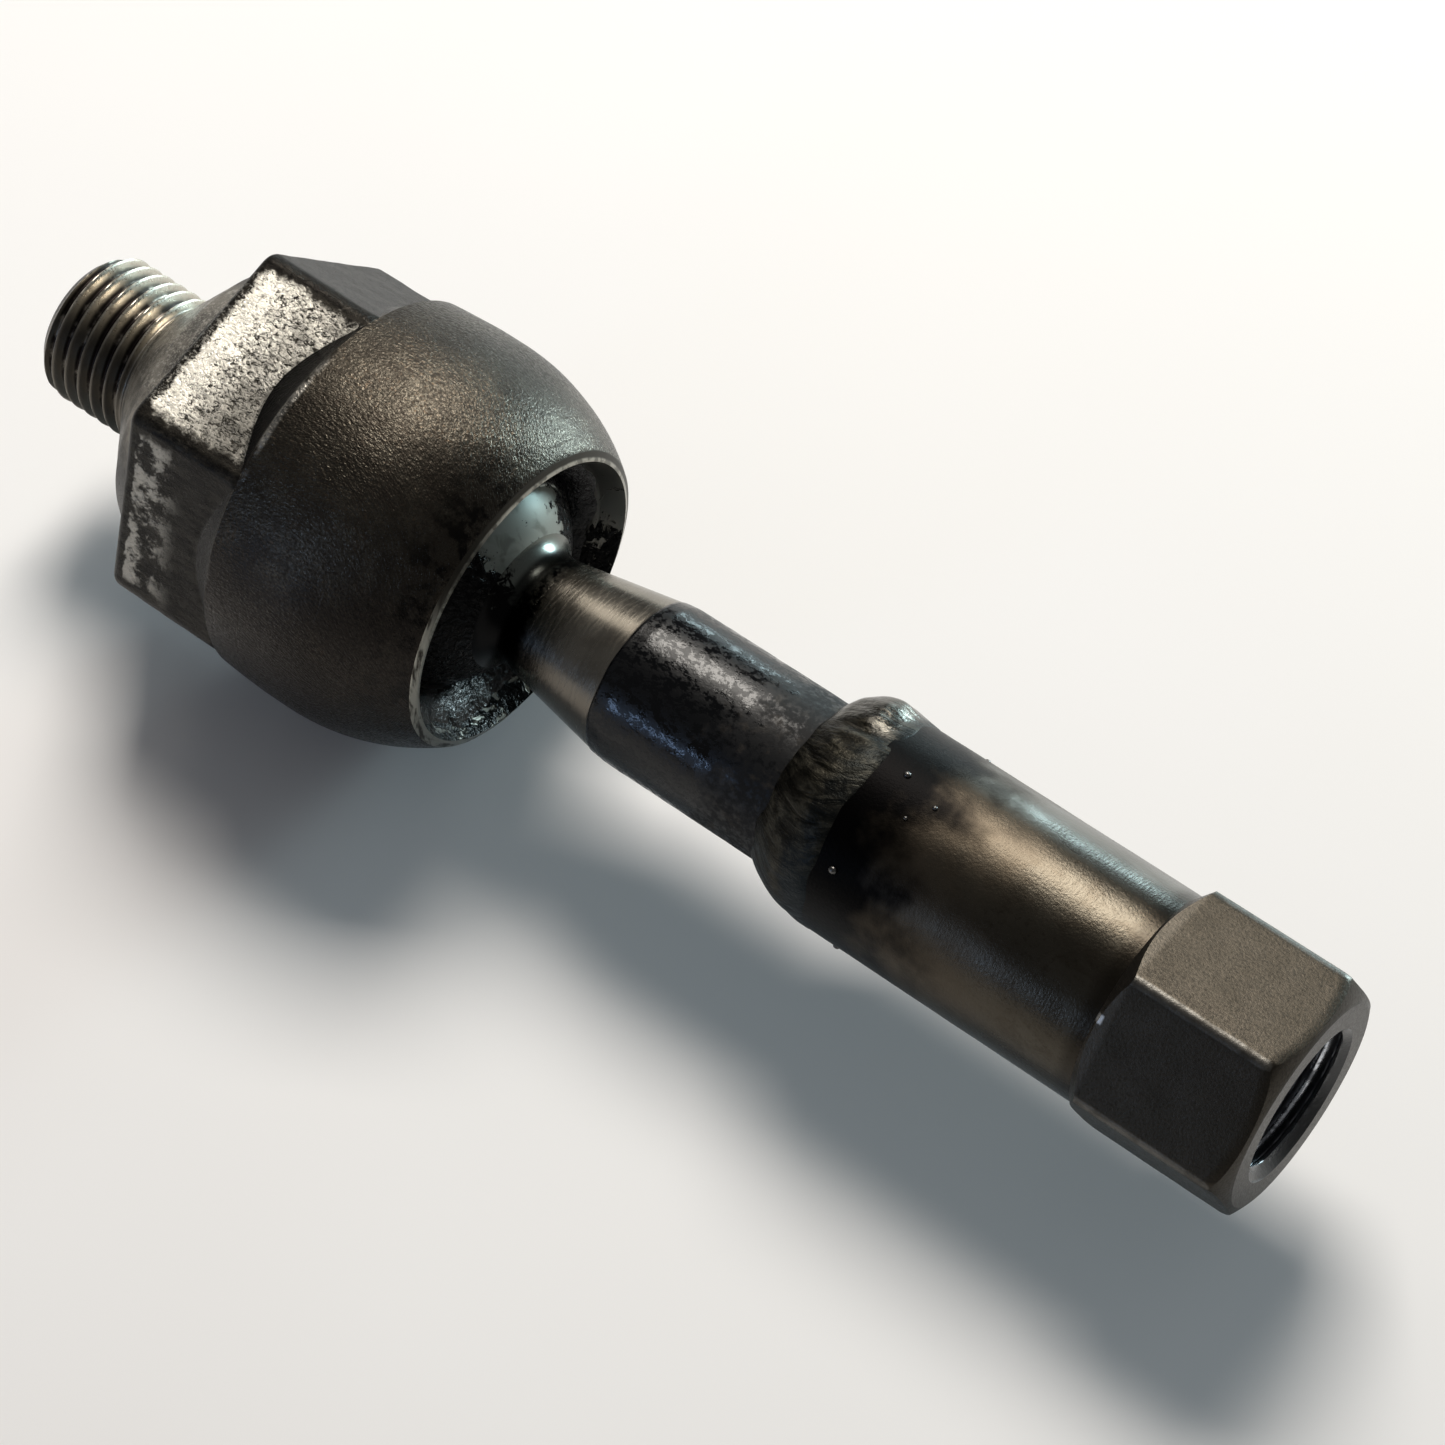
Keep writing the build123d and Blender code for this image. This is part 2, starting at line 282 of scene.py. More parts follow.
def flats_steel():
    """The housing's hexagon and collar: dull and dark, one flat worn bright, the next one worn in patches. Painted
    light: a highlight along the bright flat's back edge, shade towards its front corner and on the top flat,
    lighter patches on the cone.
    """
    p = Paint("flats_steel")
    ragged = p.math("MULTIPLY", p.math("SUBTRACT", p.noise(1.4, 4, 0.6), 0.5), 0.12)
    bright_flat = p.towards(HOUSING_FLAT_ANGLE + 60, 24.8, 2.0, ragged)
    worn_flat = p.towards(HOUSING_FLAT_ANGLE + 120, 25.0, 2.5, ragged)
    behind = p.step(p.math("ADD", p.x, p.math("MULTIPLY", ragged, 14.0)), HEX_BACK_X + 1.5, HEX_BACK_X + 0.9)
    dirt = p.noise(2.2, 4, 0.62, p.scaled(1.6, 1, 1), 0.4)
    scales = p.noise(0.30, 4, 0.74, p.scaled(1.4, 1, 1), 0.7)
    cracks = p.step(p.noise(0.42, 4, 0.74, p.scaled(1.6, 1, 1), 1.3), 0.49, 0.58)
    ahead = p.step(p.x, HEX_BACK_X + 1.5, HEX_BACK_X + 8.5)
    # Painted highlight: a band along the bright flat's back edge is made brighter, and its cracks shallower.
    back_edge_highlight = p.band(p.x, HEX_BACK_X + 2.4, 0.4, 1.2)
    shaded = p.both(ahead, p.towards(HOUSING_FLAT_ANGLE + 88, 12, 20))
    level = p.math("MULTIPLY", p.mix(ahead, 1.3, 0.60), p.step(dirt, 0.30, 0.56, 0.5, 1.0))
    level = p.math("MULTIPLY", level, p.mix(shaded, 1.0, 0.40))
    level = p.math("ADD", level, p.math("MULTIPLY", back_edge_highlight, 0.5))
    depth = p.math("MULTIPLY", p.mix(ahead, 0.75, 0.9), p.mix(back_edge_highlight, 1.0, 0.45))
    fine = p.minus(p.step(scales, 0.36, 0.62, 0.4, 1.35), p.math("MULTIPLY", cracks, depth))
    bright = p.both(bright_flat, p.both(level, fine))
    streaks = p.noise(0.55, 4, 0.6, p.scaled(6.0, 1, 1))
    patch = p.math("ADD", p.noise(2.6, 4, 0.6), p.math("MULTIPLY", p.math("SUBTRACT", scales, 0.5), 0.4))
    worn = p.both(p.step(patch, 0.46, 0.60), p.step(p.x, HEX_BACK_X + 7.0, HEX_BACK_X + 3.0))
    bright = p.most(bright, p.both(worn_flat, p.both(worn, 0.34)))
    bright = p.minus(bright, p.both(behind, p.mix(p.step(scales, 0.48, 0.60), 1.0, 0.72)))
    dull = p.mix(p.step(streaks, 0.35, 0.65), (0.015, 0.0135, 0.012), (0.034, 0.031, 0.026))
    dull = p.mix(p.both(p.step(scales, 0.5, 0.62), 0.5), dull, (0.010, 0.009, 0.008))
    # Painted shade: the top flat, at HOUSING_FLAT_ANGLE, is darkened.
    dull = p.mix(p.both(p.towards(HOUSING_FLAT_ANGLE, 30, 4), 0.55), dull, (0.010, 0.009, 0.0085))
    # Lighter worn patches on the collar's cone, kept to the side that faces 112 degrees and brightened there:
    # partly wear, partly painted highlight.
    cone = p.both(p.step(p.x, HEX_BACK_X - 0.1, HEX_BACK_X - 1.0), p.step(patch, 0.36, 0.6, 0.35, 1.0))
    cone = p.both(cone, p.towards(112, 28, 22, ragged))
    dull = p.mix(cone, dull, (0.24, 0.22, 0.185))
    colour = p.mix(bright, dull, (0.94, 0.90, 0.80))
    height = p.math("SUBTRACT", p.math("MULTIPLY", scales, 0.8), p.math("MULTIPLY", cracks, 0.35))
    return p.finish(colour, p.mix(bright, 0.42, 0.36), 1.0, p.bump(height, 0.05))


def barrel_steel():
    """The housing's barrel: satin, grained, bronze-brown, glossier at the lip, with greasy smudges; painted shade
    low down and in the groove, a painted highlight along its back edge.
    """
    p = Paint("barrel_steel")
    cloud = p.noise(7.0, 4, 0.6)
    grain = p.noise(0.23, 2, 0.7, p.stretched(1.8, 1.0))
    speck = p.noise(0.26, 3, 0.75)
    near_lip = p.step(p.x, LIP_X - 6.5, LIP_X - 0.5)
    smudge = p.both(p.both(near_lip, p.towards(150, 45, 30)), p.step(p.noise(1.6, 5, 0.6), 0.46, 0.6))
    old = p.mix(p.step(cloud, 0.3, 0.7), (0.045, 0.039, 0.031), (0.077, 0.069, 0.055))
    rusty = p.both(p.step(p.noise(0.3, 3, 0.7), 0.54, 0.66), p.step(cloud, 0.45, 0.65))
    old = p.mix(p.both(rusty, 0.5), old, (0.130, 0.078, 0.042))
    colour = p.mix(p.both(p.step(speck, 0.44, 0.62), 0.8), old, (0.020, 0.016, 0.013))
    mottle = p.step(p.noise(1.1, 4, 0.7, p.stretched(2.2, 1.0)), 0.42, 0.60)
    colour = p.mix(p.both(mottle, 0.4), colour, (0.026, 0.021, 0.017))
    # The grime mask below is painted shade: the barrel is darkened towards its low side, at 205 degrees.
    uneven = p.math("SUBTRACT", p.noise(5.0, 3, 0.5), 0.5)
    grime = p.step(p.math("ADD", p.towards(205, 35, 55), uneven), 0.2, 0.9)
    colour = p.mix(p.both(grime, 0.75), colour, (0.016, 0.014, 0.013))
    # Painted shade: the concave groove between the flats and the barrel is darkened.
    groove = p.step(p.x, BARREL_X - 0.1, BARREL_X - 0.5)
    colour = p.mix(groove, colour, (0.016, 0.015, 0.014))
    # Painted highlight: a thin bright line along the barrel's back edge, on the side that faces 111 degrees.
    edge_highlight = p.both(p.band(p.x, BARREL_X + 0.15, 0.22, 0.30), p.step(p.noise(2.0, 5, 0.66), 0.34, 0.60))
    edge_highlight = p.both(edge_highlight, p.towards(111, 11, 12))
    colour = p.mix(p.both(edge_highlight, 0.9), colour, (0.42, 0.40, 0.36))
    colour = p.mix(smudge, colour, (0.012, 0.011, 0.01))
    glossy = p.both(p.step(p.x, LIP_X - 8.0, LIP_X - 2.0), p.towards(72, 26, 30))
    rough = p.math("ADD", p.mix(cloud, 0.36, 0.45), p.step(speck, 0.35, 0.7, -0.15, 0.15))
    rough = p.mix(p.both(glossy, 0.7), rough, 0.27)
    polish = p.both(p.towards(143, 9, 10), p.step(p.x, BARREL_X + 7.0, BARREL_X + 1.0))
    rough = p.mix(p.both(polish, 0.6), rough, 0.24)
    rough = p.mix(smudge, rough, 0.22)
    scratch = p.noise(0.6, 2, 0.5, p.stretched(1.0, 14.0))
    height = p.math("ADD", grain, p.math("MULTIPLY", p.step(scratch, 0.64, 0.74), -0.2))
    calm = p.mix(glossy, 1.0, 0.95)
    pits = p.bump(p.math("MULTIPLY", p.noise(0.55, 3, 0.6), calm), 0.03)
    return p.finish(colour, rough, 1.0, p.bump(p.math("MULTIPLY", height, calm), 0.088, pits))


def lip_steel():
    """The turned bevel of the rolled lip: dark, with painted highlights along its very edge and low down."""
    p = Paint("lip_steel")
    rings = p.noise(0.12, 2, 0.5, p.stretched(1.0, 60.0))
    stain = p.step(p.noise(1.2, 4, 0.62), 0.46, 0.6)
    # Painted highlights: the edge and low-side masks brighten the bevel along its very edge and low down, at 195
    # degrees.
    edge = p.step(p.radius, LIP_R + 0.42, LIP_R + 0.22)
    low_side = p.both(p.towards(195, 42, 25), p.step(p.noise(0.8, 4, 0.6, p.stretched(1.0, 3.0)), 0.38, 0.55))
    bare = p.most(p.both(edge, p.mix(stain, 1.0, 0.35)), p.both(low_side, 0.95))
    colour = p.mix(bare, (0.040, 0.036, 0.030), (0.32, 0.31, 0.27))
    return p.finish(colour, p.mix(bare, 0.42, 0.30), 1.0, p.bump(rings, 0.015))


def mouth_steel():
    """Inside the mouth: turned wall almost covered with black grease, bare in places."""
    p = Paint("mouth_steel")
    bare_side = p.both(p.towards(60, 60, 30), 0.25)
    cover = p.math("SUBTRACT", p.noise(1.5, 4, 0.6, None, 0.8), bare_side)
    greasy = p.most(p.step(cover, 0.36, 0.42), p.step(p.x, THROAT_X + 2.0, THROAT_X + 1.0))
    rings = p.noise(0.15, 2, 0.5, p.stretched(1.0, 50.0))
    colour = p.mix(greasy, (0.13, 0.125, 0.11), (0.003, 0.003, 0.003))
    rough = p.mix(greasy, 0.36, 0.2)
    blobs = p.bump(p.both(greasy, p.noise(0.7, 3, 0.55, None, 0.5)), 0.3)
    metal = p.mix(greasy, 1.0, 0.0)
    return p.finish(colour, rough, metal, p.bump(rings, 0.012, blobs), Specular_IOR_Level=0.06)


def ball_steel():
    """The ball: ground greenish steel, wiped, with black grease on its low side and at its edge."""
    p = Paint("ball_steel")
    ragged = p.math("MULTIPLY", p.math("SUBTRACT", p.noise(1.5, 5, 0.66, None, 1.4), 0.5), 1.3)
    wiped = p.towards(73, 34, 8, ragged)
    edge = p.step(p.x, BALL_X + 9.0, BALL_X + 7.4, 0.0, 0.7)
    blot = p.step(p.noise(1.1, 4, 0.62), 0.60, 0.66)
    film = p.step(p.math("ADD", p.math("SUBTRACT", 1.0, wiped), p.most(edge, blot)), 0.45, 0.65)
    film = p.most(film, p.step(p.x, BALL_X + 8.0, BALL_X + 6.5))
    thin = p.step(p.noise(1.6, 3, 0.5, None, 0.5), 0.5, 0.7)
    steel = p.mix(p.both(thin, 0.6), (0.20, 0.22, 0.20), (0.085, 0.09, 0.078))
    colour = p.mix(film, steel, (0.004, 0.004, 0.004))
    wet = p.step(p.noise(0.8, 4, 0.6), 0.42, 0.58, 0.10, 0.34)
    rough = p.mix(film, 0.36, wet)
    lumps = p.bump(p.both(film, p.noise(0.7, 3, 0.55, None, 0.6)), 0.45)
    metal = p.mix(film, 1.0, 0.0)
    return p.finish(colour, rough, metal, p.bump(p.noise(0.2, 2, 0.5), 0.004, lumps), Specular_IOR_Level=0.05)


def neck_steel():
    """The turned neck: fine rings, with oil and smears near the ball, and painted shade on its low side."""
    p = Paint("neck_steel")
    rings = p.noise(0.22, 4, 0.7, p.stretched(1.0, 6.0))
    wide = p.noise(0.8, 2, 0.5, p.stretched(1.0, 80.0))
    ragged = p.math("MULTIPLY", p.math("SUBTRACT", p.noise(0.9, 5, 0.7, None, 1.0), 0.5), 2.4)
    near_ball = p.step(p.math("ADD", p.x, ragged), NECK_X + 2.4, NECK_X + 1.4)
    oil = p.both(near_ball, p.towards(195, 78, 14, ragged))
    fillet = p.step(p.x, NECK_X + 2.0, NECK_X - 0.5)
    smear = p.band(p.math("ADD", p.x, ragged), NECK_X + 0.9, 0.3, 0.9)
    oil = p.most(oil, p.both(smear, p.step(p.noise(0.5, 4, 0.7), 0.42, 0.56)))
    oil = p.most(oil, p.both(p.band(p.x, NECK_X - 0.5, 0.4, 0.5), 0.85))
    # Painted shade: the neck is darkened on its low side, at 190 degrees.
    low_side = p.towards(190, 30, 30)
    stain = p.step(p.noise(3.2, 4, 0.6, p.stretched(2.5, 1.0)), 0.48, 0.68)
    steel = p.mix(p.both(stain, 0.5), (0.24, 0.218, 0.182), (0.135, 0.118, 0.094))
    colour = p.mix(p.both(p.step(wide, 0.5, 0.7), 0.15), steel, (0.05, 0.045, 0.038))
    colour = p.mix(p.both(low_side, 0.6), colour, (0.09, 0.082, 0.07))
    colour = p.mix(fillet, colour, (0.125, 0.135, 0.12))
    colour = p.mix(oil, colour, (0.006, 0.006, 0.006))
    rough = p.mix(p.most(oil, fillet), p.step(rings, 0.38, 0.62, 0.20, 0.28), 0.24)
    return p.finish(colour, rough, 1.0, p.bump(rings, 0.010))


def shank_paint():
    """Gloss black paint on the shank, sooty and dull beside the weld."""
    p = Paint("shank_paint")
    soot = p.step(p.math("ADD", p.x, p.step(p.noise(2.2, 4, 0.6), 0.2, 0.8, -3, 3)), WELD_X - 8, WELD_X - 2)
    flow = p.noise(0.6, 5, 0.74, p.stretched(1.5, 1.0), 0.2)
    dust = p.step(p.noise(0.3, 3, 0.65), 0.6, 0.72)
    brown = p.both(soot, p.step(p.noise(1.3, 4, 0.6), 0.52, 0.66))
    colour = p.mix(p.both(dust, 0.15), (0.0008, 0.0009, 0.0013), (0.010, 0.010, 0.011))
    colour = p.mix(brown, colour, (0.016, 0.013, 0.010))
    sooty = p.step(p.noise(0.6, 4, 0.65), 0.36, 0.56, 0.40, 0.70)
    rough = p.mix(soot, p.step(flow, 0.46, 0.52, 0.05, 0.36), sooty)
    fine = p.math("MULTIPLY", p.noise(0.36, 3, 0.65), p.mix(soot, 1.0, 0.5))
    height = p.math("ADD", p.math("MULTIPLY", flow, 0.5), fine)
    return p.finish(colour, rough, 0.0, p.bump(height, 0.026), Specular_IOR_Level=0.27)


def weld_metal():
    """Weld metal: dark olive ripples, blue-black towards the sleeve, glossier on the lump; lighter on top and more
    blue-black low down, as painted light and shade.
    """
    p = Paint("weld_metal")
    middle, half = (WELD_X + WELD_END_X) / 2, (WELD_END_X - WELD_X) / 2
    across = p.math("DIVIDE", p.math("SUBTRACT", p.x, middle), half)
    swept = p.math("ADD", p.math("MULTIPLY", p.angle, 10.0), p.math("MULTIPLY", across, across))
    streak = p.add("ShaderNodeCombineXYZ")
    p.feed(streak.inputs[0], p.math("MULTIPLY", across, 1.3))
    p.feed(streak.inputs[1], p.math("MULTIPLY", swept, 1.1))
    ripples = p.noise(1.0, 4, 0.62, streak.outputs[0], 1.0)
    mottle = p.noise(1.7, 5, 0.66)
    lump = p.both(p.towards(LUMP_ANGLE, 22, 12), p.band(p.x, LUMP_X, 2.2, 1.4))
    # Painted light: the ripples are lighter on the top side, at 95 degrees, and the blue-black tint reaches
    # further over the low side as painted shade.
    lit_top_side = p.towards(95, 45, 35)
    light = p.both(p.step(ripples, 0.38, 0.72), p.mix(lit_top_side, 0.6, 1.0))
    colour = p.mix(light, (0.016, 0.0145, 0.011), (0.070, 0.064, 0.049))
    colour = p.mix(p.both(p.step(mottle, 0.46, 0.58), 0.75), colour, (0.012, 0.011, 0.009))
    bluish = p.step(p.math("ADD", across, p.math("SUBTRACT", mottle, 0.5)), -0.05, 0.4)
    colour = p.mix(p.both(bluish, p.mix(lit_top_side, 0.9, 0.4)), colour, (0.006, 0.010, 0.013))
    colour = p.mix(p.both(lump, p.step(mottle, 0.38, 0.55)), colour, (0.095, 0.09, 0.078))
    rough = p.mix(lump, p.step(ripples, 0.35, 0.7, 0.34, 0.5), 0.2)
    height = p.math("ADD", ripples, p.math("MULTIPLY", p.noise(0.3, 3, 0.65), 0.5))
    return p.finish(colour, rough, 1.0, p.bump(height, 0.10))


def spatter_metal():
    """Small drops of weld metal, grey and rounded."""
    p = Paint("spatter_metal")
    tone = p.noise(0.3, 2, 0.5)
    return p.finish(p.mix(tone, (0.05, 0.048, 0.045), (0.16, 0.155, 0.15)), 0.32, 1.0, p.bump(tone, 0.02))


def sleeve_steel():
    """The sleeve's tube: black beside the weld, then brown, then satin bronze-grey, with a painted highlight
    streak along its top and painted shade just before the hexagon.
    """
    p = Paint("sleeve_steel")
    wander = p.step(p.noise(3.6, 3, 0.55), 0.2, 0.8, -3.0, 3.0)
    sides = p.most(p.towards(172, 30, 26), p.towards(76, 20, 18))
    along = p.math("SUBTRACT", p.math("ADD", p.x, wander), p.math("MULTIPLY", sides, 3.5))
    burnt = p.step(along, WELD_END_X + 0.5, WELD_END_X + 9.5, 1.0, 0.0)
    brown = p.step(along, WELD_END_X + 4.0, WELD_END_X + 17.0, 1.0, 0.0)
    cloud = p.noise(4.0, 4, 0.62, p.stretched(1.8, 1.0))
    steel = p.mix(cloud, (0.042, 0.036, 0.027), (0.082, 0.073, 0.058))
    blot = p.step(p.noise(1.8, 5, 0.65, p.stretched(1.4, 1.0), 0.4), 0.5, 0.64)
    steel = p.mix(p.both(blot, 0.45), steel, (0.040, 0.032, 0.023))
    speck = p.step(p.noise(0.45, 3, 0.7), 0.52, 0.7)
    steel = p.mix(p.both(speck, 0.5), steel, (0.032, 0.026, 0.019))
    colour = p.mix(brown, steel, (0.068, 0.055, 0.040))
    # Painted highlight: a light streak along the tube on the side that faces 54 degrees.
    streak = p.both(p.towards(54, 9, 13), p.step(along, WELD_END_X + 1.0, WELD_END_X + 13.0))
    colour = p.mix(p.both(streak, p.step(cloud, 0.3, 0.6, 0.6, 0.9)), colour, (0.23, 0.235, 0.22))
    # Painted shade: the tube is darkened just before the hexagon.
    crease_shade = p.step(p.x, SLEEVE_HEX_X - 2.0, SLEEVE_HEX_X - 0.5)
    colour = p.mix(p.both(crease_shade, 0.65), colour, (0.016, 0.013, 0.010))
    colour = p.mix(burnt, colour, (0.003, 0.0028, 0.0028))
    rings = p.noise(0.16, 2, 0.6, p.stretched(1.0, 60.0))
    rough = p.mix(p.most(burnt, p.both(brown, 0.9)), p.mix(cloud, 0.23, 0.33), 0.44)
    rough = p.mix(p.both(streak, 0.8), rough, 0.19)
    height = p.math("ADD", p.math("MULTIPLY", rings, 0.4), p.noise(0.3, 3, 0.7))
    return p.finish(colour, rough, 1.0, p.bump(height, 0.025))


def sleeve_hex_steel():
    """The sleeve's hexagon: matte, fine-grained, with a small bright spot, painted highlights along its edges and
    painted light on its back rise.
    """
    p = Paint("sleeve_hex_steel")
    cloud = p.noise(3.0, 4, 0.62)
    grain = p.noise(0.26, 3, 0.72)
    colour = p.mix(cloud, (0.029, 0.025, 0.019), (0.053, 0.046, 0.037))
    colour = p.mix(p.both(p.step(grain, 0.5, 0.7), 0.45), colour, (0.016, 0.014, 0.011))
    # Painted highlight: thin bright lines along the hexagon's corners.
    corner = p.step(p.radius, SLEEVE_CORNER_R - 0.16, SLEEVE_CORNER_R - 0.06)
    edge_highlight = p.both(corner, p.step(p.noise(1.5, 3, 0.5), 0.3, 0.6, 0.35, 0.8))
    colour = p.mix(edge_highlight, colour, (0.125, 0.12, 0.11))
    # Painted light: the back rise of the hexagon, facing the weld, is lightened.
    behind = p.step(p.x, SLEEVE_FULL_X + 0.2, SLEEVE_FULL_X - 0.4)
    colour = p.mix(p.both(behind, 0.5), colour, (0.085, 0.075, 0.062))
    # A small bright spot where the hexagon starts.
    bright_spot = p.both(p.band(p.x, SLEEVE_HEX_X + 0.35, 0.22, 0.2), p.towards(SLEEVE_FLAT_ANGLE + 52, 1.6, 1.2))
    colour = p.mix(bright_spot, colour, (0.55, 0.54, 0.52))
    face = p.step(p.x, SLEEVE_END_X - 0.15, SLEEVE_END_X - 0.02)
    colour = p.mix(p.both(face, 0.6), colour, (0.055, 0.052, 0.047))
    return p.finish(colour, p.step(grain, 0.3, 0.7, 0.36, 0.48), 1.0, p.bump(grain, 0.035))


def tapped_steel():
    """Inside the tapped hole: oily, dark between bright thread crests."""
    p = Paint("tapped_steel")
    grime = p.noise(1.2, 4, 0.62)
    crest = p.step(p.radius, TAP_R + 0.5, TAP_R + 0.1)
    bright = p.both(crest, p.step(grime, 0.4, 0.56))
    colour = p.mix(bright, (0.17, 0.176, 0.19), (0.62, 0.64, 0.68))
    mouth = p.step(p.x, SLEEVE_END_X - 1.3, SLEEVE_END_X - 0.7)
    colour = p.mix(p.both(mouth, 0.85), colour, (0.045, 0.044, 0.042))
    return p.finish(colour, p.mix(bright, 0.32, 0.2), 1.0, p.bump(p.noise(0.3, 3, 0.6), 0.03))


def black_grease():
    """Black grease: wet, lumpy, stringy."""
    p = Paint("black_grease")
    dull = p.step(p.noise(0.9, 4, 0.6), 0.5, 0.65)
    colour = p.mix(dull, (0.002, 0.002, 0.002), (0.008, 0.0078, 0.0075))
    lumps = p.bump(p.noise(0.45, 3, 0.6, None, 0.5), 0.16)
    return p.finish(colour, p.mix(dull, 0.12, 0.22), 0.0, lumps, Specular_IOR_Level=0.12)


def seat_polymer():
    """The bearing shells: off-black moulded polymer."""
    p = Paint("seat_polymer")
    grain = p.noise(0.3, 3, 0.6)
    return p.finish(p.mix(grain, (0.018, 0.018, 0.018), (0.04, 0.038, 0.036)), 0.42, 0.0, p.bump(grain, 0.02))


def spring_steel():
    """The disc spring: oiled spring steel."""
    p = Paint("spring_steel")
    rings = p.noise(0.3, 3, 0.6, p.stretched(1.0, 40.0))
    return p.finish(p.mix(rings, (0.16, 0.16, 0.17), (0.28, 0.28, 0.29)), 0.3, 1.0, p.bump(rings, 0.01))


# ---- closed surfaces around the axis -----------------------------------------------------------------
def hex_columns(flat_angle, half_flat, flat_steps, corner_steps):
    """Angles about the axis, in radians, with one on each edge of a hexagon's six flats."""
    found = []
    for k in range(6):
        start = flat_angle + 60 * k - half_flat
        end = flat_angle + 60 * k + half_flat
        found.append(np.linspace(start, end, flat_steps, endpoint=False))
        found.append(np.linspace(end, start + 60, corner_steps, endpoint=False))
    return np.radians(np.concatenate(found))


def even_columns(count):
    return np.linspace(0, 2 * math.pi, count, endpoint=False)


def rounded_hex_radius(angle, flat_angle, across, rounding):
    """Radius of a hexagonal section whose corners are rounded."""
    turn = (np.degrees(angle) - flat_angle + 30) % 60 - 30
    flat = across / 2 / np.cos(np.radians(turn))
    centre_r = (across / 2 - rounding) / math.cos(math.radians(30))
    from_corner = np.radians(30 - np.abs(turn))
    inside = np.maximum(rounding ** 2 - (centre_r * np.sin(from_corner)) ** 2, 0)
    corner = centre_r * np.cos(from_corner) + np.sqrt(inside)
    half_width = (across / 2 - rounding) * math.tan(math.radians(30))
    on_flat = np.tan(np.radians(np.abs(turn))) * across / 2 <= half_width
    return np.where(on_flat, flat, corner)


def hex_radius(angle, flat_angle, across, corner_r, soft):
    """Radius of a hexagonal section whose corners are turned, its edges softened."""
    turn = (np.degrees(angle) - flat_angle + 30) % 60 - 30
    flat = across / 2 / np.cos(np.radians(turn))
    share = np.clip(0.5 + 0.5 * (corner_r - flat) / soft, 0, 1)
    return corner_r * (1 - share) + flat * share - soft * share * (1 - share)


def smooth(start, end, value):
    t = np.clip((value - start) / (end - start), 0, 1)
    return t * t * (3 - 2 * t)


def noise_at(x, y, z, size, seed=0.0):
    """Noise from -1 to 1 at points, with features of that size."""
    points = np.stack([x, y, z], -1).reshape(-1, 3) / size + seed
    values = np.array([noise.noise(Vector(point)) for point in points])
    return values.reshape(np.shape(x))


def thread_depth(x, angle, full):
    """Depth of a right-handed rolled thread's groove at points: 0 on its crest, full at its root."""
    turn = x / PITCH - angle / (2 * math.pi)
    return full * (0.5 - 0.5 * np.cos(2 * math.pi * turn)) ** 0.85


class Shell:
    """A surface around the axis, made of rings along an outline from the outside in.

    A ring has an x and a radius for each column. The faces after a ring take its skin.
    """

    def __init__(self, angle):
        self.angle = angle
        self.x, self.r, self.skin = [], [], []

    def ring(self, x, r, skin):
        self.x.append(np.broadcast_to(np.asarray(x, float), self.angle.shape))
        self.r.append(np.broadcast_to(np.asarray(r, float), self.angle.shape))
        self.skin.append(skin)

    def line(self, start, end, steps, skin):
        """Rings from one (x, r) up to the next, leaving the end to what follows."""
        for t in np.arange(steps) / steps:
            self.ring(start[0] + (end[0] - start[0]) * t, start[1] + (end[1] - start[1]) * t, skin)

    def arc(self, centre, radius, first, last, steps, skin):
        """Rings along an arc, its angles in degrees from +X outwards."""
        for t in np.arange(steps) / steps:
            turn = math.radians(first + (last - first) * t)
            self.ring(centre[0] + radius * math.cos(turn), centre[1] + radius * math.sin(turn), skin)

    def roughen(self, amounts, seed=0.0):
        """Moves rings out and in by noise, for each skin by (depth, size)."""
        for skin, (depth, size) in amounts.items():
            for i in [i for i, name in enumerate(self.skin) if name == skin]:
                y, z = self.r[i] * np.cos(self.angle), self.r[i] * np.sin(self.angle)
                self.r[i] = self.r[i] + depth * noise_at(self.x[i], y, z, size, seed)

    def build(self, name, paints, loop=False):
        """The mesh object. With loop the last ring joins the first, as on a torus; else both ends close."""
        rows, columns = len(self.x), len(self.angle)
        x, r = np.array(self.x), np.array(self.r)
        points = np.stack([x, r * np.cos(self.angle), r * np.sin(self.angle)], -1).reshape(-1, 3)
        row = np.arange(rows if loop else rows - 1)[:, None]
        column = np.arange(columns)[None, :]
        near, far = row * columns, (row + 1) % rows * columns
        right = (column + 1) % columns
        quads = np.stack([near + column, near + right, far + right, far + column], -1).reshape(-1, 4)
        faces = quads.tolist()
        skins = np.repeat([self.skin[i] for i in row[:, 0]], columns).tolist()
        if not loop:
            around = np.arange(columns)
            next_one = (around + 1) % columns
            last = (rows - 1) * columns
            first_pole, last_pole = len(points), len(points) + 1
            poles = [[x[0].mean(), 0, 0], [x[-1].mean(), 0, 0]]
            points = np.concatenate([points, poles])
            faces += [[first_pole, b, a] for a, b in zip(around.tolist(), next_one.tolist())]
            faces += [[last_pole, last + a, last + b] for a, b in zip(around.tolist(), next_one.tolist())]
            skins += [self.skin[0]] * columns + [self.skin[-1]] * columns
        return mesh_piece(name, points, faces, paints, skins)


def mesh_piece(name, points, faces, paints, skins=None):
    """An object made of points in millimetres, with a material for each face by its skin's name."""
    mesh = bpy.data.meshes.new(name)
    mesh.from_pydata((np.asarray(points) * MM).tolist(), [], faces)
    order = list(paints)
    for skin in order:
        mesh.materials.append(paints[skin])
    if skins is not None:
        mesh.polygons.foreach_set("material_index", [order.index(skin) for skin in skins])
    mesh.polygons.foreach_set("use_smooth", [True] * len(mesh.polygons))
    mesh.set_sharp_from_angle(angle=math.radians(38))
    mesh.validate()
    piece = bpy.data.objects.new(name, mesh)
    bpy.context.scene.collection.objects.link(piece)
    return piece


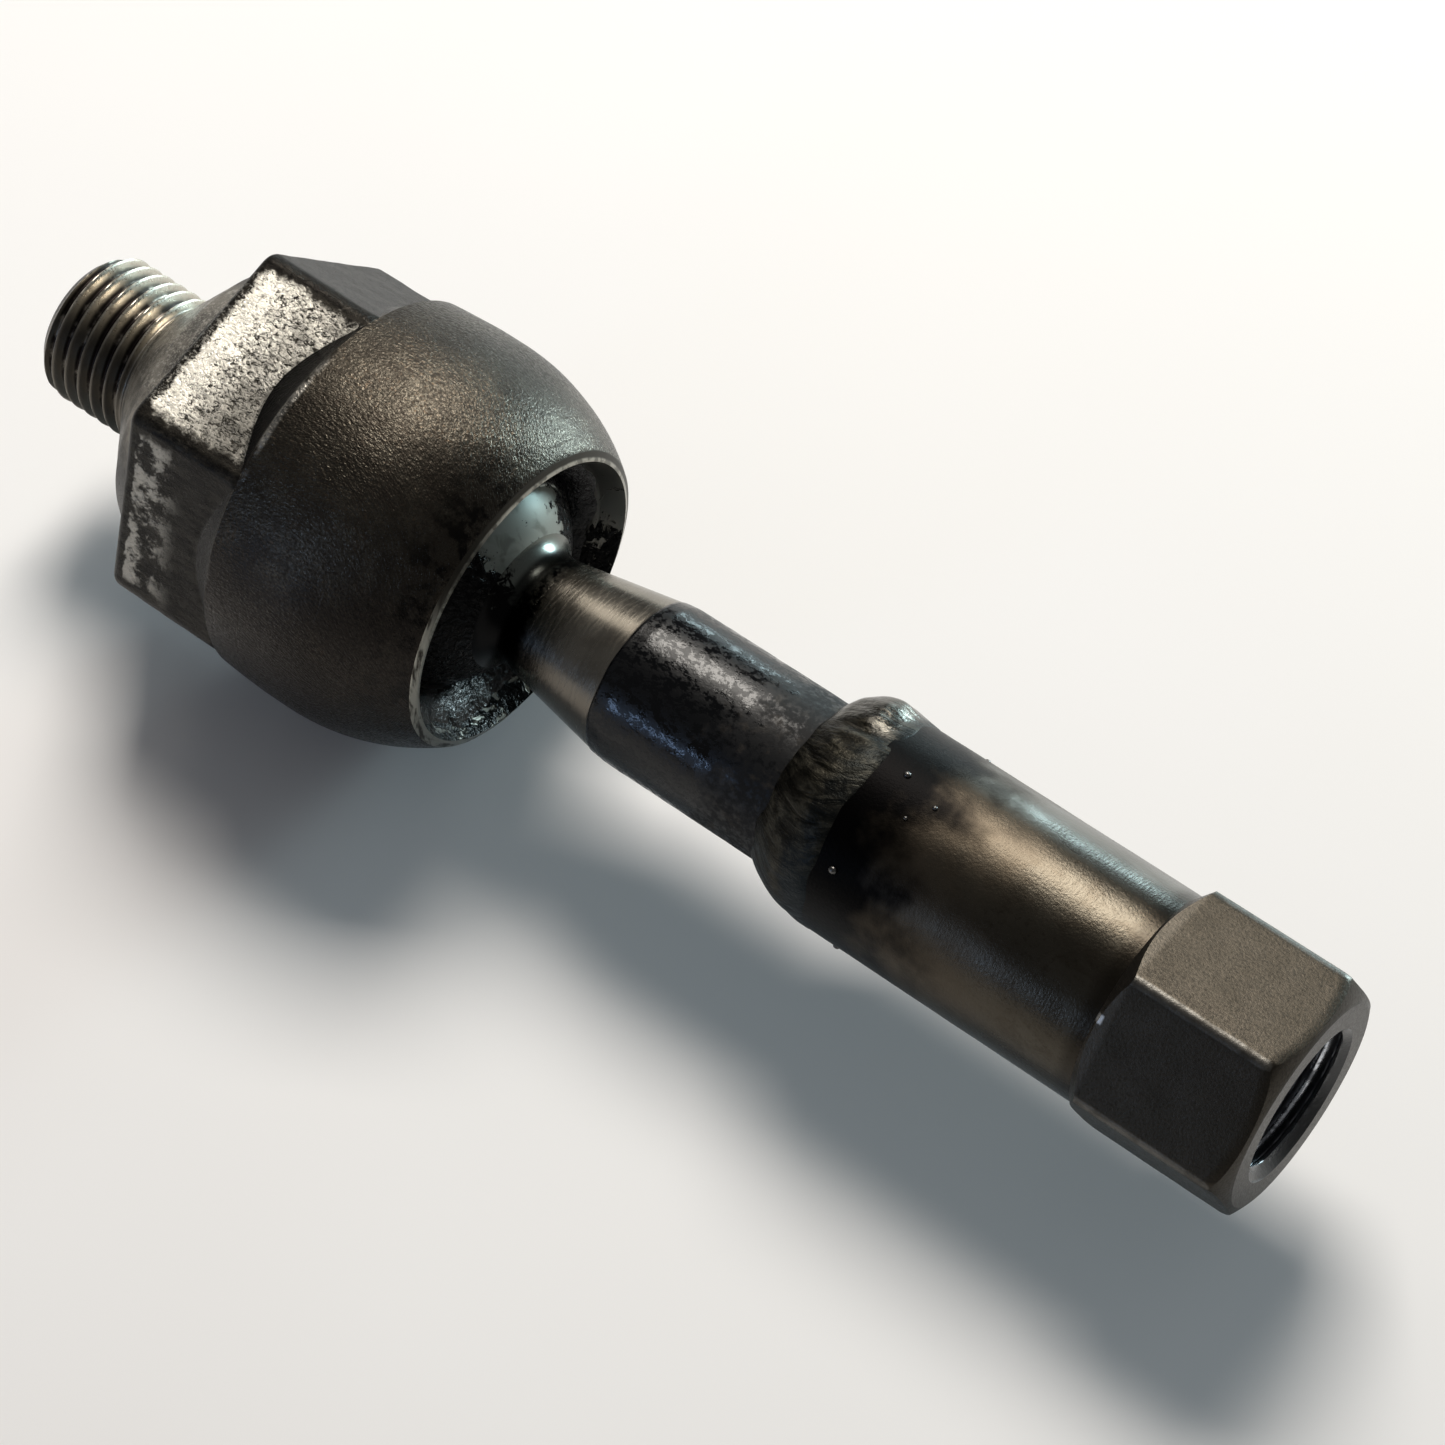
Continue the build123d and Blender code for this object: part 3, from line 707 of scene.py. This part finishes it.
def crown(x):
    """Radius of the housing's rolled front."""
    return math.sqrt(CROWN_R ** 2 - (x - BELLY_X) ** 2) - (CROWN_R - BELLY_R)


def groove(x):
    """Radius of the concave shoulder that climbs from the flats to the barrel."""
    return GROOVE_R + (BARREL_R - GROOVE_R) * ((x - GROOVE_X) / (BARREL_X - GROOVE_X)) ** GROOVE_POWER


def polar(sphere_r, angle):
    """(x, r) at an angle in degrees from +X about the ball's centre."""
    return BALL_X + sphere_r * math.cos(math.radians(angle)), sphere_r * math.sin(math.radians(angle))


# ---- housing -----------------------------------------------------------------------------------------
def make_housing():
    inner = HOUSING_FLATS / 2 - HEX_CORNER_ROUND
    half_flat = math.degrees(math.atan(inner * math.tan(math.radians(30)) / (HOUSING_FLATS / 2)))
    angle = hex_columns(HOUSING_FLAT_ANGLE, half_flat, 36, 10)
    shell = Shell(angle)
    hexagon = rounded_hex_radius(angle, HOUSING_FLAT_ANGLE, HOUSING_FLATS, HEX_CORNER_ROUND)

    shell.line((STUB_END, 0.3), (STUB_END, STUB_R - STUB_CHAMFER), 6, "thread")
    for x in np.arange(STUB_END, -0.05, PITCH / 24):
        cut = thread_depth(x, angle, STUB_R - STUB_ROOT_R)
        faded = cut * (1 - smooth(-0.9, 0.0, x))
        shell.ring(x, np.minimum(STUB_R - faded, STUB_R - STUB_CHAMFER + x - STUB_END), "thread")
    shell.line((0, STUB_R), (COLLAR_X, COLLAR_R), 14, "flats")
    shell.line((COLLAR_X, COLLAR_R), (HEX_BACK_X, HEX_BACK_R), 6, "flats")
    rounding = np.minimum(HEX_EDGE, hexagon - HEX_BACK_R)
    shell.line((HEX_BACK_X, HEX_BACK_R), (HEX_BACK_X, hexagon - rounding), 4, "flats")
    for turn in np.radians(np.linspace(180, 90, 6, endpoint=False)):
        x = HEX_BACK_X + rounding * (1 + math.cos(turn))
        shell.ring(x, hexagon + rounding * (math.sin(turn) - 1), "flats")
    climb = ((hexagon - GROOVE_R) / (BARREL_R - GROOVE_R)).clip(0, 1) ** (1 / GROOVE_POWER)
    flat_end = np.minimum(GROOVE_X + climb * (BARREL_X - GROOVE_X), BARREL_X - 0.1)
    flat_end_r = np.minimum(hexagon, groove(flat_end) + 0.1)
    shell.line((HEX_BACK_X + rounding, hexagon), (flat_end, flat_end_r), 26, "flats")
    for t in np.arange(12) / 12:
        x = flat_end + (BARREL_X - flat_end) * t
        shell.ring(x, groove(x) - 0.05 * math.sin(math.pi * t), "barrel")
    for x in np.linspace(BARREL_X, BELLY_X, 20, endpoint=False):
        t = (x - BARREL_X) / (BELLY_X - BARREL_X)
        bulge = BARREL_MID_R - (BARREL_R + BELLY_R) / 2
        shell.ring(x, BARREL_R + (BELLY_R - BARREL_R) * t + 4 * bulge * t * (1 - t), "barrel")
    for x in np.linspace(BELLY_X, BEVEL_X, 34, endpoint=False):
        shell.ring(x, crown(x), "barrel")
    shell.line((BEVEL_X, crown(BEVEL_X)), (LIP_X - 0.12, LIP_R + 0.18), 6, "lip")
    shell.line((LIP_X - 0.12, LIP_R + 0.18), (LIP_X - 0.06, LIP_R), 2, "lip")
    shell.line((LIP_X - 0.06, LIP_R), (THROAT_X, THROAT_R), 16, "mouth")
    rim = math.degrees(math.acos((THROAT_X - BALL_X) / SOCKET_R))
    tail = 180 - math.degrees(math.asin(SPRING_BORE_R / SOCKET_R))
    shell.line((THROAT_X, THROAT_R), polar(SOCKET_R, rim), 3, "mouth")
    shell.arc((BALL_X, 0), SOCKET_R, rim, tail, 30, "mouth")
    shell.line(polar(SOCKET_R, tail), (SPRING_BORE_X, SPRING_BORE_R), 3, "mouth")
    shell.line((SPRING_BORE_X, SPRING_BORE_R), (SPRING_BORE_X, 0.3), 4, "mouth")

    shell.roughen({"flats": (0.045, 1.8), "barrel": (0.035, 3.5), "lip": (0.02, 1.2)})
    paints = {
        "thread": thread_steel(),
        "flats": flats_steel(),
        "barrel": barrel_steel(),
        "lip": lip_steel(),
        "mouth": mouth_steel(),
    }
    piece = shell.build("housing_forging", paints)
    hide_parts("ball_housing")
    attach(piece, "housing")


def make_mouth_grease():
    """Grease pushed out into the corner between the seat ring and the wall of the mouth."""
    angle = even_columns(240)
    shell = Shell(angle)
    y, z = np.cos(angle), np.sin(angle)
    lumps = noise_at(y, z, 0 * y, 0.35, 3.1) + 0.6 * noise_at(y, z, 0 * y, 0.12, 7.7)
    low_side = smooth(-0.3, 0.9, np.cos(angle - math.radians(228)))
    depth = np.clip(1.3 + 0.9 * lumps + 1.1 * low_side, 0.5, 3.2)
    slope = (LIP_R - THROAT_R) / (LIP_X - THROAT_X)
    wall_x, wall_r = THROAT_X + depth, THROAT_R + depth * slope
    seat_r = math.sqrt((BALL_R + 0.35) ** 2 - (ring_high.x - BALL_X) ** 2)
    bulge = np.clip(0.10 + 0.16 * lumps + 0.12 * low_side, 0.02, 0.4)
    for t in np.linspace(0, 1, 9):
        swell = 4 * t * (1 - t) * bulge
        x = ring_high.x - 0.02 + (wall_x - ring_high.x + 0.02) * t + swell * 0.8
        shell.ring(x, seat_r + (wall_r + 0.05 - seat_r) * t - swell * 0.6, "grease")
    shell.ring(THROAT_X + 0.3, THROAT_R + 0.5, "grease")
    shell.ring(ring_high.x - 0.03, THROAT_R + 0.2, "grease")
    piece = shell.build("mouth_grease", {"grease": black_grease()}, loop=True)
    piece.data.flip_normals()
    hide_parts("grease_bead")
    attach(piece, "housing")


# ---- stud --------------------------------------------------------------------------------------------
def make_stud():
    angle = even_columns(240)
    shell = Shell(angle)
    back = 180 - math.degrees(math.asin(BALL_FLAT_R / BALL_R))
    root_x = BALL_X + math.sqrt(BALL_R ** 2 - NECK_ROOT_R ** 2)
    fillet = neck_fillet(math.atan2(NECK_R - NECK_ROOT_R, NECK_X - root_x))
    shell.line((polar(BALL_R, back)[0], 0.2), polar(BALL_R, back), 5, "ball")
    shell.arc((BALL_X, 0), BALL_R, back, fillet["ball_angle"], 90, "ball")
    shell.arc(fillet["centre"], NECK_FILLET, fillet["start"], fillet["end"], 14, "neck")
    edge = NECK_END_X + 0.16 * noise_at(np.cos(angle), np.sin(angle), 0 * angle, 0.5, 1.3)
    tangent = math.radians(fillet["end"])
    start = (
        fillet["centre"][0] + NECK_FILLET * math.cos(tangent),
        fillet["centre"][1] + NECK_FILLET * math.sin(tangent),
    )
    shell.line(start, (edge, NECK_END_R - PAINT_STEP), 70, "neck")
    shell.line((edge, NECK_END_R - PAINT_STEP), (edge + 0.18, NECK_END_R), 3, "paint")
    shell.line((edge + 0.18, NECK_END_R + 0.02), (SHANK_X, SHANK_R), 10, "paint")
    shell.line((SHANK_X, SHANK_R), (SHANK_END_X, SHANK_R), 70, "paint")
    shell.line((SHANK_END_X, SHANK_R), (SHANK_END_X, 0.3), 5, "paint")
    shell.roughen({"paint": (0.02, 1.6)})
    paints = {"ball": ball_steel(), "neck": neck_steel(), "paint": shank_paint()}
    piece = shell.build("ball_stud_turned", paints)
    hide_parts("ball_stud")
    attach(piece, "stud")


def neck_fillet(lean):
    """The fillet that rolls between the ball and the neck's cone: centre, and angles where it touches."""
    along = Vector((math.cos(lean), math.sin(lean)))
    outwards = Vector((-along.y, along.x))
    on_neck = Vector((NECK_X, NECK_R))
    base = on_neck + outwards * NECK_FILLET - Vector((BALL_X, 0))
    reach = BALL_R + NECK_FILLET
    across = base.dot(along)
    travel = -across + math.sqrt(across ** 2 - base.length_squared + reach ** 2)
    centre = base + along * travel
    ball_angle = math.degrees(math.atan2(centre.y, centre.x))
    return {
        "centre": (centre.x + BALL_X, centre.y),
        "ball_angle": ball_angle,
        "start": ball_angle + 180,
        "end": math.degrees(math.atan2(-outwards.y, -outwards.x)) + 360,
    }


# ---- weld --------------------------------------------------------------------------------------------
def make_weld():
    angle = even_columns(360)
    shell = Shell(angle)
    y, z = np.cos(angle), np.sin(angle)
    toe = WELD_X + 0.35 + 0.45 * noise_at(y, z, 0 * y, 0.3, 5.0)
    far_toe = WELD_END_X - 0.35 + 0.4 * noise_at(y, z, 0 * y, 0.3, 9.0)
    wander = 0.45 * noise_at(y, z, 0 * y, 0.4, 2.0)
    turn = (np.degrees(angle) - LUMP_ANGLE + 180) % 360 - 180
    for t in np.linspace(0, 1, 65):
        across = 2 * t - 1
        x = toe + (far_toe - toe) * t
        line = SHANK_R + (SLEEVE_R - SHANK_R) * t
        arch = (WELD_CROWN_R - (SHANK_R + SLEEVE_R) / 2) * (1 - across ** 2) ** 0.8
        turns = angle * RIPPLE_R / RIPPLE + 1.3 * across ** 2 + wander
        ripple = RIPPLE_HEIGHT * (1 - abs(across) ** 3) * np.abs(np.sin(math.pi * turns))
        uneven = WELD_UNEVEN * noise_at(x / 9, y, z, 0.33, 4.0) * (1 - across ** 2)
        # The lump, its low tail on the shank, and the notch beside it.
        lump = np.exp(-(np.abs(x - LUMP_X) / LUMP_LENGTH) ** 3 - (turn / LUMP_SPREAD) ** 2)
        tail = 0.35 * np.exp(-((x - WELD_X - 0.9) / 0.8) ** 2 - ((np.abs(turn) - 4) / 14) ** 2)
        notch = 0.42 * np.exp(-((x - LUMP_X - 0.6) / 2.4) ** 2 - ((turn - 31) / 5) ** 2)
        sunk = 0.05 * across ** 2
        shell.ring(x, line + arch + ripple + uneven + lump + tail - notch - sunk, "weld")
    shell.line((far_toe, SLEEVE_R - 0.25), (SHANK_END_X, SHANK_R - 0.2), 4, "weld")
    shell.line((SHANK_END_X, SHANK_R - 0.2), (toe, SHANK_R - 0.2), 4, "weld")
    piece = shell.build("weld_bead_rippled", {"weld": weld_metal()}, loop=True)
    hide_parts("weld_bead")
    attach(piece, "stud")


# ---- sleeve ------------------------------------------------------------------------------------------
def add_drop(piece, x, angle, drop_r):
    """Adds a closed, flattened ball of spatter that sits on the sleeve at a place, to its mesh."""
    mesh = bmesh.new()
    mesh.from_mesh(piece.data)
    a = math.radians(angle)
    out = Vector((0, math.cos(a), math.sin(a)))
    around = Vector((0, -math.sin(a), math.cos(a)))
    axes = Matrix((Vector((drop_r * 1.15, 0, 0)), around * drop_r, out * drop_r * 0.8)).transposed()
    place = Matrix.Translation((Vector((x, 0, 0)) + out * (SLEEVE_R + drop_r * 0.2)) * MM)
    made = bmesh.ops.create_icosphere(mesh, subdivisions=2, radius=MM, matrix=place @ axes.to_4x4())
    index = piece.data.materials.find("spatter_metal")
    for face in {face for vertex in made["verts"] for face in vertex.link_faces}:
        face.material_index = index
        face.smooth = True
    mesh.to_mesh(piece.data)
    mesh.free()


def make_sleeve():
    half_flat = math.degrees(math.acos(SLEEVE_FLATS / 2 / SLEEVE_CORNER_R))
    angle = hex_columns(SLEEVE_FLAT_ANGLE, half_flat, 30, 2)
    shell = Shell(angle)
    hexagon = hex_radius(angle, SLEEVE_FLAT_ANGLE, SLEEVE_FLATS, SLEEVE_CORNER_R, 0.08)

    shell.line((SHANK_END_X, 0.3), (SHANK_END_X, SHANK_R), 3, "tube")
    shell.line((SHANK_END_X, SHANK_R), (SLEEVE_PREP_X, SLEEVE_R), 4, "tube")
    shell.line((SLEEVE_PREP_X, SLEEVE_R), (SLEEVE_HEX_X, SLEEVE_R), 80, "tube")
    slope = (SLEEVE_FULL_X - SLEEVE_HEX_X) / (SLEEVE_CORNER_R - SLEEVE_R)
    rise_end = SLEEVE_HEX_X + (hexagon - SLEEVE_R) * slope
    shell.line((SLEEVE_HEX_X, SLEEVE_R), (rise_end, hexagon), 6, "hex")
    reach = SLEEVE_END_X - SLEEVE_CHAMFER_X
    drop = (SLEEVE_CORNER_R - hexagon) / (SLEEVE_CORNER_R - SLEEVE_FACE_R)
    start = np.arcsin(np.clip(drop, 0, 1) ** 0.5)
    flat_end = SLEEVE_CHAMFER_X + reach * np.sin(start) ** 1.2
    shell.line((rise_end, hexagon), (flat_end, hexagon), 30, "hex")
    for t in np.arange(1, 11) / 10:
        turn = start + (math.pi / 2 - start) * t
        x = SLEEVE_CHAMFER_X + reach * np.sin(turn) ** 1.2
        shell.ring(x, SLEEVE_CORNER_R - (SLEEVE_CORNER_R - SLEEVE_FACE_R) * np.sin(turn) ** 2, "hex")
    shell.line((SLEEVE_END_X, SLEEVE_FACE_R), (SLEEVE_END_X, TAP_MOUTH_R), 5, "hex")
    mouth_depth = TAP_MOUTH_R - TAP_R
    for x in np.arange(SLEEVE_END_X, SLEEVE_END_X - TAP_SEEN, -PITCH / 20):
        tapped_ring(shell, x, mouth_depth)
    for x in np.arange(SLEEVE_END_X - TAP_SEEN, TAP_END_X, -PITCH / 8):
        tapped_ring(shell, x, mouth_depth)
    drill_tip = TAP_END_X - TAP_R / math.tan(math.radians(DRILL_HALF_ANGLE))
    shell.line((TAP_END_X, TAP_R), (drill_tip, 0.1), 6, "tapped")
    shell.roughen({"tube": (0.02, 3.0), "hex": (0.018, 2.0)})
    paints = {
        "tube": sleeve_steel(),
        "hex": sleeve_hex_steel(),
        "tapped": tapped_steel(),
        "spatter": spatter_metal(),
    }
    piece = shell.build("threaded_sleeve_cut", paints)
    for x, around, drop_r in SPATTER:
        add_drop(piece, x, around, drop_r)
    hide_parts("threaded_sleeve")
    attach(piece, "stud")


def tapped_ring(shell, x, mouth_depth):
    """One ring of the tapped thread, fading out at the bottom and opened by the mouth's countersink."""
    full = TAP_MAJOR_R - TAP_R
    cut = full - thread_depth(x, shell.angle, full)
    thread = TAP_R + cut * smooth(TAP_END_X, TAP_END_X + 2 * PITCH, x)
    countersink = TAP_MOUTH_R - (SLEEVE_END_X - x)
    shell.ring(x, np.maximum(thread, countersink) if x > SLEEVE_END_X - mouth_depth else thread, "tapped")


# ---- carried-over nodes ------------------------------------------------------------------------------
def paint_inner_nodes():
    """The pieces sealed inside keep their CAD shape and get their own materials."""
    polymer, spring, grease = seat_polymer(), spring_steel(), black_grease()
    wanted = {
        "seat_cup": polymer,
        "seat_ring": polymer,
        "disc_spring": spring,
        "grease_layer_outer": grease,
        "grease_layer_inner": grease,
    }
    for node, material in wanted.items():
        piece = frame["nodes"][node]
        piece.data.materials.clear()
        piece.data.materials.append(material)


# ---- floor, lights and camera ------------------------------------------------------------------------
CAMERA_AZIMUTH, CAMERA_ELEVATION = 38.2, 55.4
CAMERA_DISTANCE = 357.1
CAMERA_LENS, CAMERA_SENSOR = 105.58, 36.0
AIM_RIGHT, AIM_DOWN = 16.634, 10.085            # from the middle of the lip to the picture's centre
MIDDLE = Vector(((housing_low.x + sleeve_high.x) / 2, 0, 0))
FLOOR_SIDE, FLOOR_GAP = 6000, 0.02
WORLD_COLOUR, WORLD_STRENGTH = (0.82, 0.83, 0.84), 0.17
LAMPS = [                                       # name, azimuth, elevation, distance, size, watts, colour
    ("key", -150, 56, 700, (280, 280), 5.0, (1.0, 0.95, 0.88)),
    ("key_low", -120, 43, 700, (200, 200), 0.22, (1.0, 0.94, 0.86)),
    ("edge", -161, 6, 700, (150, 80), 0.45, (0.74, 0.95, 1.0)),
    ("rim", 167, 4, 700, (300, 110), 2.6, (0.62, 0.90, 1.0)),
    ("rim_core", 167, 3, 690, (100, 80), 2.3, (0.80, 0.97, 1.0)),
    ("glint", -24, 10, 700, (110, 70), 0.4, (0.42, 0.62, 1.0)),
]


def direction(azimuth, elevation):
    """Unit vector from the object towards a place, azimuth 0 towards -Y and 90 towards +X."""
    a, e = math.radians(azimuth), math.radians(elevation)
    return Vector((math.sin(a) * math.cos(e), -math.cos(a) * math.cos(e), math.sin(e)))


def make_camera():
    back = direction(CAMERA_AZIMUTH, CAMERA_ELEVATION)
    right = Vector((0, 0, 1)).cross(back).normalized()
    up = back.cross(right)
    aim = Vector((LIP_X, 0, 0)) + right * AIM_RIGHT - up * AIM_DOWN
    data = bpy.data.cameras.new("camera")
    data.lens, data.sensor_width = CAMERA_LENS, CAMERA_SENSOR
    data.clip_start, data.clip_end = 0.01, 10
    camera = bpy.data.objects.new("camera", data)
    turn = Matrix((right, up, back)).transposed().to_4x4()
    camera.matrix_world = Matrix.Translation((aim + back * CAMERA_DISTANCE) * MM) @ turn
    bpy.context.scene.collection.objects.link(camera)
    bpy.context.scene.camera = camera


def make_lamp(name, azimuth, elevation, distance, size, power, colour):
    """A soft rectangular lamp that faces the object from a direction."""
    data = bpy.data.lights.new(name, "AREA")
    data.shape = "RECTANGLE"
    data.size, data.size_y = size[0] * MM, size[1] * MM
    data.energy, data.color = power, colour
    lamp = bpy.data.objects.new(name, data)
    towards = direction(azimuth, elevation)
    lamp.location = (MIDDLE + towards * distance) * MM
    lamp.rotation_mode = "QUATERNION"
    lamp.rotation_quaternion = towards.to_track_quat("Z", "Y")
    bpy.context.scene.collection.objects.link(lamp)


def make_stage():
    p = Paint("pale_floor")
    tone = p.mix(p.noise(60.0, 2, 0.5), (0.84, 0.83, 0.83), (0.87, 0.86, 0.86))
    floor_paint = p.finish(tone, 0.75, 0.0, None, Specular_IOR_Level=0.2)
    side = FLOOR_SIDE / 2
    low = housing_low.z - FLOOR_GAP
    corners = [(-side, -side, low), (side, -side, low), (side, side, low), (-side, side, low)]
    floor = mesh_piece("floor", corners, [[0, 1, 2, 3]], {"floor": floor_paint})


def make_light():
    world = bpy.data.worlds.new("studio")
    bpy.context.scene.world = world
    world.use_nodes = True
    background = world.node_tree.nodes["Background"]
    background.inputs["Color"].default_value = (*WORLD_COLOUR, 1)
    background.inputs["Strength"].default_value = WORLD_STRENGTH
    bpy.context.scene.view_settings.view_transform = "Standard"
    for lamp in LAMPS:
        make_lamp(*lamp)


make_camera()
make_stage()
make_light()
make_housing()
make_mouth_grease()
make_stud()
make_weld()
make_sleeve()
paint_inner_nodes()
